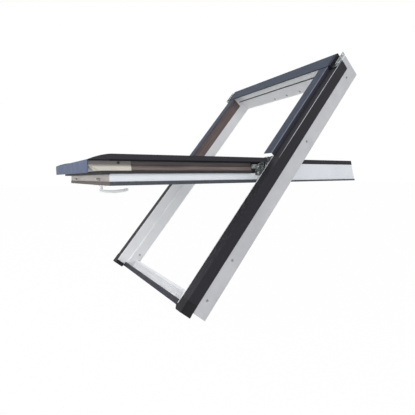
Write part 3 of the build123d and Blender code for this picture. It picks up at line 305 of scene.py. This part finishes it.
# Painted shade: a grey copy of the beige for the end plates' necks, which lie in the cover's shadow
NECK_PAINTED_SHADE = moulded_plastic("neck_painted_shade_pvc", linear(134, 131, 128), linear(120, 117, 114), 0.45)
ROD_BEIGE = moulded_plastic("rod_beige_coat", linear(196, 192, 184), linear(182, 178, 170), 0.4)
SCREW_DARK = coated_sheet("screw_dark", linear(62, 60, 60), linear(50, 48, 48), 0.4)
BUSH_GREY = moulded_plastic("bush_grey_plastic", linear(122, 121, 123), linear(108, 107, 110), 0.5)
CAP_GREY = moulded_plastic("cap_grey_plastic", linear(176, 178, 182), linear(160, 163, 168), 0.45)
HANDLE_WHITE = moulded_plastic(
    "handle_white_plastic", linear(242, 242, 243), linear(236, 236, 238), 0.25, 0.05
)
BLACK_PLASTIC = moulded_plastic("black_plastic", linear(36, 36, 39), linear(28, 28, 31), 0.55, 0.3, 0.15)
BLUE_GREY = coated_sheet("blue_grey_coat", linear(64, 72, 86), linear(55, 62, 76), 0.55)
RAIL_BLUE = coated_sheet("rail_blue_coat", linear(69, 81, 107), linear(61, 72, 96), 0.5)
# Painted shade: a darker navy for the upward faces of the rail cover and the down-slope lip of the hood
NAVY_PAINTED_SHADE = coated_sheet("navy_painted_shade_coat", linear(46, 50, 62), linear(38, 42, 53), 0.5)
# Painted highlight: the upper cover's outer side turns pale near its top edge, standing in for light on
# the fold
HEM_HIGHLIGHT = hem_painted_highlight("hem_highlight_coat", HEM_HIGHLIGHT_START, linear(50, 53, 62), linear(120, 124, 136))
SILL_GREY = coated_sheet("sill_grey_coat", linear(58, 57, 66), linear(47, 46, 55), 0.5)
BLACK_SHEET = coated_sheet("black_coat", linear(49, 47, 52), linear(40, 39, 43), 0.55)
DARK_SHEET = coated_sheet("dark_grey_coat", linear(54, 53, 58), linear(44, 43, 48), 0.5)
# Painted highlight: the cladding's ridge turns from the dark coat to a pale grey towards the top, standing
# in for light on the fold
RIDGE_HIGHLIGHT = ridge_painted_highlight("ridge_highlight_coat", RIDGE_HIGHLIGHT_RISE, linear(60, 59, 64), linear(172, 175, 182))
BROWN_SLOPED = foiled_profile(
    "brown_foil_on_slope", ROOF_PITCH, linear(128, 112, 106), linear(106, 92, 88), linear(82, 70, 68)
)
BROWN_LEVEL = foiled_profile(
    "brown_foil_level", 0.0, linear(126, 113, 108), linear(106, 94, 91), linear(82, 73, 71)
)
# Painted shade: a darker copy of the brown foil for the trims' necks, which lie under the cover's overhang
BROWN_SHADE = foiled_profile(
    "brown_foil_neck_painted_shade", 0.0, linear(86, 80, 82), linear(72, 67, 69), linear(56, 51, 52)
)
ZINC = zinc_plated("zinc_plate")
BLACK_RUBBER = rubber("black_rubber", linear(42, 42, 44), linear(30, 30, 32))
GREY_RUBBER = rubber("grey_rubber", linear(72, 77, 84), linear(58, 63, 70))
BROWN_RUBBER = rubber("brown_rubber", linear(98, 90, 84), linear(80, 73, 68))
PALE_RUBBER = rubber("pale_rubber", linear(224, 225, 229), linear(208, 209, 214))
GLASS = clear_glass("clear_glass")
SPACER = ribbed_spacer("spacer_aluminium")

# Finish of each CAD piece, with how far its edges are rounded, in millimetres
PLASTIC_EDGE = 0.9
SHEET_EDGE = 0.35
PLATE_EDGE = 0.5
SEAL_EDGE = 0.6
GLASS_EDGE = 0.4
GRIP_EDGE = 1.4
CLOTHES = {
    "frame_jamb": (FRAME_WHITE, PLASTIC_EDGE),
    "frame_sill": (FRAME_WHITE, PLASTIC_EDGE),
    "frame_head": (FRAME_WHITE, PLASTIC_EDGE),
    "sash_stile": (SASH_WHITE, PLASTIC_EDGE),
    "sash_top_rail": (SASH_WHITE, PLASTIC_EDGE),
    "sash_bottom_rail": (SASH_WHITE, PLASTIC_EDGE),
    "hood_cover": (BLUE_GREY, SHEET_EDGE),
    "upper_side_cover": (BLUE_GREY, SHEET_EDGE),
    "bottom_rail_cover": (RAIL_BLUE, SHEET_EDGE),
    "side_cladding": (BLACK_SHEET, SHEET_EDGE),
    "lower_side_cover": (DARK_SHEET, SHEET_EDGE),
    "sill_cover": (SILL_GREY, SHEET_EDGE),
    "upper_glazing_bead": (DARK_SHEET, SHEET_EDGE),
    "top_glazing_bead": (DARK_SHEET, SHEET_EDGE),
    "hood_end_cap": (BLACK_PLASTIC, PLASTIC_EDGE),
    "cladding_end_cap": (BLACK_PLASTIC, PLASTIC_EDGE),
    "hinge_packer": (BLACK_PLASTIC, SHEET_EDGE),
    "upper_liner": (BROWN_SLOPED, PLASTIC_EDGE),
    "side_trim": (BROWN_LEVEL, SEAL_EDGE),
    "bottom_rail_front": (BEIGE, PLASTIC_EDGE),
    "corner_end_plate": (BEIGE, PLASTIC_EDGE),
    "hinge_frame_plate": (ZINC, PLATE_EDGE),
    "hinge_sash_plate": (ZINC, PLATE_EDGE),
    "hood_bracket": (ZINC, SHEET_EDGE),
    "lock_keepers": (FRAME_WHITE, SHEET_EDGE),
    "lock_rod": (ROD_BEIGE, PLATE_EDGE),
    "lock_gear_case": (ZINC, PLATE_EDGE),
    "end_plate_screws": (SCREW_DARK, SHEET_EDGE),
    "head_screw_caps": (CAP_GREY, SHEET_EDGE),
    "reveal_plugs": (CAP_GREY, SHEET_EDGE),
    "outer_pane": (GLASS, GLASS_EDGE),
    "inner_pane": (GLASS, GLASS_EDGE),
    "glass_sealant": (BLACK_RUBBER, SEAL_EDGE),
    "glass_spacer": (SPACER, SEAL_EDGE),
    "inner_glazing_gasket": (BLACK_RUBBER, SEAL_EDGE),
    "outer_glazing_gasket": (BLACK_RUBBER, SEAL_EDGE),
    "head_gasket": (BLACK_RUBBER, SEAL_EDGE),
    "sill_gasket": (PALE_RUBBER, SEAL_EDGE),
    "step_gasket": (BLACK_RUBBER, SEAL_EDGE),
    "room_seal": (GREY_RUBBER, SEAL_EDGE),
    "room_seal_bottom": (BROWN_RUBBER, SEAL_EDGE),
    "handle": (HANDLE_WHITE, GRIP_EDGE),
    "handle_rosette": (HANDLE_WHITE, GRIP_EDGE),
}


# Softened pieces that stand for the CAD nodes

def only(piece):
    """Makes one object the selected and active one."""
    bpy.ops.object.select_all(action="DESELECT")
    piece.select_set(True)
    bpy.context.view_layer.objects.active = piece


def wear(piece, material):
    piece.data.materials.clear()
    piece.data.materials.append(material)


def apply_bevel(piece, width, segments=2, sharp=32):
    """Rounds the sharp edges of a piece and shades it smooth between them."""
    only(piece)
    bevel = piece.modifiers.new("rounded_edges", "BEVEL")
    bevel.width = width
    bevel.segments = segments
    bevel.limit_method = "ANGLE"
    bevel.angle_limit = radians(sharp)
    bevel.use_clamp_overlap = True
    bpy.ops.object.modifier_apply(modifier=bevel.name)
    bpy.ops.object.shade_smooth_by_angle(angle=radians(sharp))
    level = piece.modifiers.new("level_faces", "WEIGHTED_NORMAL")
    level.keep_sharp = True
    bpy.ops.object.modifier_apply(modifier=level.name)


def soften(node, material, edge):
    """A copy of a CAD node as one skin, with rounded edges, that is shown in its place."""
    piece = bpy.data.objects.new(f"{node}_dressed", NODES[node].data.copy())
    bpy.context.scene.collection.objects.link(piece)
    only(piece)
    bpy.ops.object.mode_set(mode="EDIT")
    bpy.ops.mesh.select_all(action="SELECT")
    bpy.ops.mesh.remove_doubles(threshold=0.002 * MM)
    bpy.ops.mesh.dissolve_limited(angle_limit=radians(0.5))
    bpy.ops.object.mode_set(mode="OBJECT")
    apply_bevel(piece, edge * MM)
    wear(piece, material)
    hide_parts(node)
    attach(piece, NODES[node]["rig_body"])
    return piece


def repaint(piece, material, chosen):
    """Gives a second finish to the faces that a test on their middle and normal chooses."""
    piece.data.materials.append(material)
    slot = len(piece.data.materials) - 1
    for face in piece.data.polygons:
        if chosen(face.center, face.normal):
            face.material_index = slot


def outer_side(middle, normal):
    return abs(middle.x) > FRAME_SIDE - 2 * MM and abs(normal.x) > 0.9


def raised_ridge(middle, normal):
    return middle.dot(OUTWARD) > CLADDING_FACE + 0.2 * MM


def rail_front_face(middle, normal):
    return middle.y < RAIL_FRONT_FACE + 1 * MM and normal.y < -0.5


def hood_lip(middle, normal):
    return normal.dot(UP_SLOPE) < -0.7


def raised_hem(middle, normal):
    return middle.dot(OUTWARD) > COVER_FACE + 0.2 * MM or normal.x * middle.x > 0.9 * abs(middle.x)


def facing_up(middle, normal):
    return normal.z > 0.6


def facing_front(middle, normal):
    return normal.y < -0.5


def trim_neck(middle, normal):
    return STILE_SIDE + 1 * MM < abs(middle.x) < TRIM_SIDE - 3 * MM and abs(normal.x) > 0.7


# Second finishes, all painted light: painted shade on the sides against the roof, the set-back necks, the
# shaded fronts and tops of the rail pieces and the hood's lip; painted highlights on the ridge and the
# cover's hem
SECOND_FINISH = {
    "frame_jamb": (SIDE_WHITE_PAINTED_SHADE, outer_side),
    "side_cladding": (RIDGE_HIGHLIGHT, raised_ridge),
    "sash_bottom_rail": (BEIGE_PAINTED_SHADE, rail_front_face),
    "bottom_rail_front": (BEIGE_PAINTED_SHADE, facing_front),
    "bottom_rail_cover": (NAVY_PAINTED_SHADE, facing_up),
    "hood_cover": (NAVY_PAINTED_SHADE, hood_lip),
    "upper_side_cover": (HEM_HIGHLIGHT, raised_hem),
    "side_trim": (BROWN_SHADE, trim_neck),
    "corner_end_plate": (NECK_PAINTED_SHADE, trim_neck),
}


def clothes_of(node):
    if node in CLOTHES:
        return CLOTHES[node]
    return CLOTHES[node.rsplit("_", 1)[0]]


for node in sorted(NODES):
    wear(NODES[node], clothes_of(node)[0])
    dressed = soften(node, *clothes_of(node))
    kind = node if node in SECOND_FINISH else node.rsplit("_", 1)[0]
    if kind in SECOND_FINISH:
        repaint(dressed, *SECOND_FINISH[kind])


# Small pieces that the CAD model leaves out

def pick_faces(piece, chosen):
    """Selects, for the next edit, the faces that a test on their middle and normal chooses."""
    bpy.ops.object.mode_set(mode="OBJECT")
    for face in piece.data.polygons:
        face.select = chosen(face.center, face.normal)
    bpy.ops.object.mode_set(mode="EDIT")


def settle(piece, name, material, body):
    """Names and finishes a new piece, its place and turn taken into its mesh."""
    only(piece)
    bpy.ops.object.transform_apply(location=True, rotation=True, scale=True)
    piece.name = name
    wear(piece, material)
    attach(piece, body)


def copied(piece, name, place, turn=(0, 0, 0)):
    """A copy with a mesh of its own."""
    twin = bpy.data.objects.new(name, piece.data.copy())
    bpy.context.scene.collection.objects.link(twin)
    twin.location = place
    twin.rotation_euler = turn
    return twin


# Bushes round the fixing holes of the jambs, open in the middle
BUSH_RADIUS = 4.2 * MM
BUSH_WALL = 1.5 * MM
BUSH_DEPTH = 1.0 * MM
BUSH_EDGE = 0.25 * MM
BUSH_SEGMENTS = 24
BUSH_PLACES = (509 * MM, 155 * MM, -393.7 * MM, -553 * MM)
BUSH_OUT = -79 * MM
JAMB_SIDE = 388.5 * MM


def fixing_bushes():
    bpy.ops.object.select_all(action="DESELECT")
    bpy.ops.mesh.primitive_cylinder_add(
        vertices=BUSH_SEGMENTS, radius=BUSH_RADIUS, depth=BUSH_DEPTH, end_fill_type="NOTHING"
    )
    first = bpy.context.object
    only(first)
    wall = first.modifiers.new("wall", "SOLIDIFY")
    wall.thickness = BUSH_WALL
    wall.offset = -1
    bpy.ops.object.modifier_apply(modifier=wall.name)
    apply_bevel(first, BUSH_EDGE)
    count = 0
    for side in (1, -1):
        for along in BUSH_PLACES:
            count += 1
            place = UP_SLOPE * along + OUTWARD * BUSH_OUT
            place.x = side * (JAMB_SIDE + BUSH_DEPTH / 2)
            name = f"fixing_bush_{count}"
            bush = copied(first, name, place, (0, side * pi / 2, 0))
            settle(bush, name, BUSH_GREY, "frame")
    bpy.data.objects.remove(first)


# Ends of the lower room seals, run on past the hinges
SEAL_FROM = -72 * MM
SEAL_TO = -20 * MM
SEAL_BOTTOM = -87.5 * MM
SEAL_TOP = -75.5 * MM
SEAL_THICKNESS = 2.5 * MM
SEAL_LIP = 0.8 * MM
SEAL_LIP_SHARE = 0.7
SEAL_END_EDGE = 0.3 * MM


def seal_ends():
    bpy.ops.object.select_all(action="DESELECT")
    bpy.ops.mesh.primitive_cube_add(size=1)
    first = bpy.context.object
    only(first)
    first.scale = (SEAL_THICKNESS - SEAL_LIP, SEAL_TO - SEAL_FROM, SEAL_TOP - SEAL_BOTTOM)
    bpy.ops.object.transform_apply(location=False, rotation=False, scale=True)
    bpy.ops.object.mode_set(mode="EDIT")
    bpy.ops.mesh.select_mode(type="FACE")
    pick_faces(first, lambda middle, normal: normal.x > 0.9)
    bpy.ops.mesh.extrude_region_move(TRANSFORM_OT_translate={"value": (SEAL_LIP, 0, 0)})
    bpy.ops.transform.resize(value=(1, 1, SEAL_LIP_SHARE))
    bpy.ops.object.mode_set(mode="OBJECT")
    apply_bevel(first, SEAL_END_EDGE)
    middle = ((SEAL_FROM + SEAL_TO) / 2, (SEAL_BOTTOM + SEAL_TOP) / 2)
    for side, name in ((1, "room_seal_end_right"), (-1, "room_seal_end_left")):
        reach = side * (STILE_SIDE + (SEAL_THICKNESS - SEAL_LIP) / 2)
        turn = (0, 0, 0) if side == 1 else (0, 0, pi)
        end = copied(first, name, (reach, *middle), turn)
        settle(end, name, GREY_RUBBER, "sash")
    bpy.data.objects.remove(first)


fixing_bushes()
seal_ends()


# Studio
FLOOR_SIZE = 40
FLOOR_GAP = 2 * MM
FLOOR_WHITE_SHARE = 0.98
SKY_STRENGTH = 0.55


def floor_and_sky():
    """A pale floor that keeps a soft shadow, and a white surround."""
    bpy.ops.object.select_all(action="DESELECT")
    bpy.ops.mesh.primitive_plane_add(size=FLOOR_SIZE, location=(0, 0, CAD_BOX[0][2] - FLOOR_GAP))
    floor = bpy.context.object
    floor.name = "studio_floor"
    material = bpy.data.materials.new("pale_floor")
    material.use_nodes = True
    tree = material.node_tree
    tree.nodes.clear()
    output = tree.nodes.new("ShaderNodeOutputMaterial")
    paint = tree.nodes.new("ShaderNodeBsdfDiffuse")
    paint.inputs["Color"].default_value = (0.9, 0.9, 0.9, 1)
    white = tree.nodes.new("ShaderNodeEmission")
    rays = tree.nodes.new("ShaderNodeLightPath")
    seen = tree.nodes.new("ShaderNodeMath")
    seen.operation = "MULTIPLY"
    seen.inputs[1].default_value = FLOOR_WHITE_SHARE
    mix = tree.nodes.new("ShaderNodeMixShader")
    clear = tree.nodes.new("ShaderNodeMath")
    clear.operation = "MAXIMUM"
    tree.links.new(rays.outputs["Is Camera Ray"], clear.inputs[0])
    tree.links.new(rays.outputs["Is Transmission Ray"], clear.inputs[1])
    tree.links.new(clear.outputs["Value"], seen.inputs[0])
    tree.links.new(seen.outputs["Value"], mix.inputs["Fac"])
    tree.links.new(paint.outputs["BSDF"], mix.inputs[1])
    tree.links.new(white.outputs["Emission"], mix.inputs[2])
    tree.links.new(mix.outputs["Shader"], output.inputs["Surface"])
    wear(floor, material)

    world = bpy.data.worlds.new("studio")
    world.use_nodes = True
    bpy.context.scene.world = world
    tree = world.node_tree
    tree.nodes.clear()
    output = tree.nodes.new("ShaderNodeOutputWorld")
    light = tree.nodes.new("ShaderNodeBackground")
    light.inputs["Strength"].default_value = SKY_STRENGTH
    backdrop = tree.nodes.new("ShaderNodeBackground")
    backdrop.inputs["Color"].default_value = (1, 1, 1, 1)
    light.inputs["Color"].default_value = (0.97, 0.985, 1, 1)
    rays = tree.nodes.new("ShaderNodeLightPath")
    shown = rays.outputs["Is Camera Ray"]
    for kind in ("Is Glossy Ray", "Is Transmission Ray"):
        either = tree.nodes.new("ShaderNodeMath")
        either.operation = "MAXIMUM"
        tree.links.new(shown, either.inputs[0])
        tree.links.new(rays.outputs[kind], either.inputs[1])
        shown = either.outputs["Value"]
    mix = tree.nodes.new("ShaderNodeMixShader")
    tree.links.new(shown, mix.inputs["Fac"])
    tree.links.new(light.outputs["Background"], mix.inputs[1])
    tree.links.new(backdrop.outputs["Background"], mix.inputs[2])
    tree.links.new(mix.outputs["Shader"], output.inputs["Surface"])


def soft_light(name, place, size, power):
    """A square lamp that faces the pivot."""
    bpy.ops.object.light_add(type="AREA", location=place)
    lamp = bpy.context.object
    lamp.name = name
    lamp.data.size = size
    lamp.data.energy = power
    lamp.rotation_euler = (-Vector(place)).to_track_quat("-Z", "Y").to_euler()


def photo_camera():
    bpy.ops.object.camera_add(location=CAMERA_PLACE)
    camera = bpy.context.object
    turn = Matrix.Rotation(CAMERA_AZIMUTH, 3, "Z") @ Matrix.Rotation(pi / 2 - CAMERA_ELEVATION, 3, "X")
    camera.rotation_euler = (turn @ Matrix.Rotation(CAMERA_ROLL, 3, "Z")).to_euler()
    camera.data.sensor_width = SENSOR_WIDTH
    camera.data.lens = FOCAL_PIXELS / IMAGE_SIZE * SENSOR_WIDTH
    camera.data.clip_start = 0.01
    bpy.context.scene.camera = camera


floor_and_sky()
soft_light("key_light", (-0.6, -2.6, 1.9), 1.6, 32)
soft_light("side_light", (5.2, -1.2, 2.4), 3.5, 85)
soft_light("low_light", (0.7, -2.3, -0.35), 1.5, 34)
photo_camera()
bpy.context.scene.view_settings.view_transform = "Standard"
